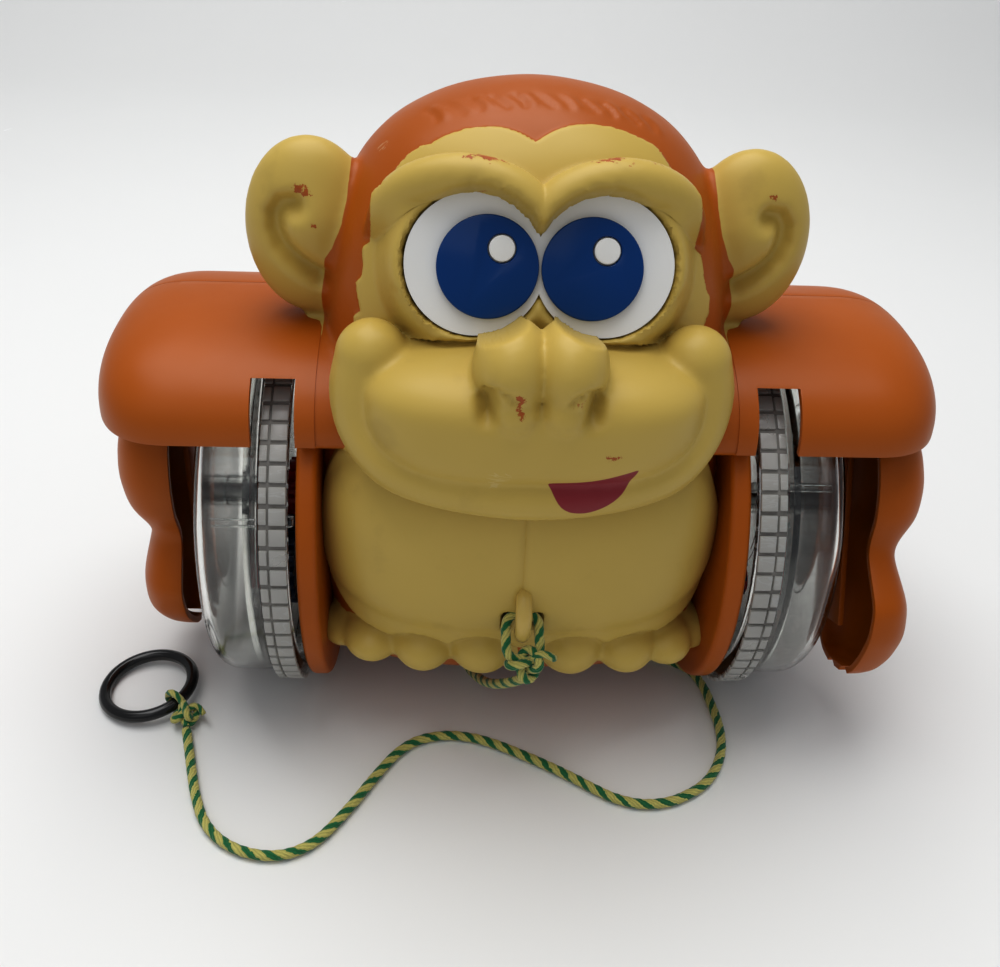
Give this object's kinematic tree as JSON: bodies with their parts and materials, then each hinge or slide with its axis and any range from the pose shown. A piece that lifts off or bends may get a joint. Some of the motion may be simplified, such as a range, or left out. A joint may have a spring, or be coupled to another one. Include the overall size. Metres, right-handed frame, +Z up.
{
  "type": "pull-along monkey toy",
  "caption": "Moulded plastic pull-along monkey with clear drum wheels, swinging arms and a braided pull cord with a finger ring.",
  "frame": {"origin": "on the floor under the middle of the toy, cord left out", "axes": "+X to the toy's side along the axle (right when seen from the front), +Y to its back, +Z up; the face looks along -Y"},
  "size_m": [0.2574, 0.1746, 0.192],
  "materials": {
    "shell_orange": "moulded, satin gloss, face areas painted cream",
    "eye_white": "gloss white",
    "iris_blue": "gloss blue",
    "clear_plastic": "clear, lightly scratched",
    "gear_red": "satin red",
    "gear_navy": "satin navy",
    "steel": "plated",
    "roller_black": "matt black",
    "ring_black": "gloss black",
    "cord_braid": "braided, yellow-green with dark green stripes"
  },
  "bodies": {
    "root": {"front_shell": "shell_orange", "rear_shell": "shell_orange", "eye_plate": "eye_white", "iris_left": "iris_blue", "iris_right": "iris_blue", "main_axle": "steel", "axle_cap_left": "steel", "axle_cap_right": "steel", "axle_spring_left": "steel", "axle_spring_right": "steel", "idler_stud_left": "steel", "idler_stud_right": "steel", "arm_pin_left": "steel", "arm_pin_right": "steel", "roller_pin": "steel", "body_screw_1": "steel", "body_screw_2": "steel", "body_screw_3": "steel", "body_screw_4": "steel", "pull_cord": "cord_braid", "eyelet_knot": "cord_braid", "ring_knot": "cord_braid", "pull_ring": "ring_black"},
    "wheel_left": {"drum_left": "clear_plastic", "drum_cover_left": "clear_plastic", "drive_gear_left": "gear_red", "crank_left": "shell_orange"},
    "idler_left": {"idler_gear_left": "gear_navy", "cam_left": "gear_red"},
    "wheel_right": {"drum_right": "clear_plastic", "drum_cover_right": "clear_plastic", "drive_gear_right": "gear_red", "crank_right": "shell_orange"},
    "idler_right": {"idler_gear_right": "gear_navy", "cam_right": "gear_red"},
    "arm_left": {"arm_left": "shell_orange"},
    "arm_right": {"arm_right": "shell_orange"},
    "roller": {"rear_roller": "roller_black"}
  },
  "joints": [
    {"name": "wheel_left_spin", "type": "hinge", "parent": "root", "child": "wheel_left", "pos_m": [-0.079, 0.0016, 0.06], "axis": [1, 0, 0], "continuous": true},
    {"name": "idler_left_spin", "type": "hinge", "parent": "root", "child": "idler_left", "pos_m": [-0.0702, -0.01801, 0.04774], "axis": [1, 0, 0], "continuous": true},
    {"name": "wheel_right_spin", "type": "hinge", "parent": "root", "child": "wheel_right", "pos_m": [0.079, 0.0016, 0.06], "axis": [1, 0, 0], "continuous": true},
    {"name": "idler_right_spin", "type": "hinge", "parent": "root", "child": "idler_right", "pos_m": [0.0702, -0.01801, 0.04774], "axis": [1, 0, 0], "continuous": true},
    {"name": "arm_left_swing", "type": "hinge", "parent": "root", "child": "arm_left", "pos_m": [-0.108, 0.0016, 0.112], "axis": [1, 0, 0], "range_deg": [-24.5, 30.5]},
    {"name": "arm_right_swing", "type": "hinge", "parent": "root", "child": "arm_right", "pos_m": [0.108, 0.0016, 0.112], "axis": [1, 0, 0], "range_deg": [-0.5, 54.5]},
    {"name": "roller_spin", "type": "hinge", "parent": "root", "child": "roller", "pos_m": [0, 0.0556, 0.009], "axis": [1, 0, 0], "continuous": true}
  ],
  "couplings": [
    {"joint": "idler_left_spin", "follows": "wheel_left_spin", "ratio": -0.77778},
    {"joint": "idler_right_spin", "follows": "wheel_right_spin", "ratio": -0.77778}
  ]
}
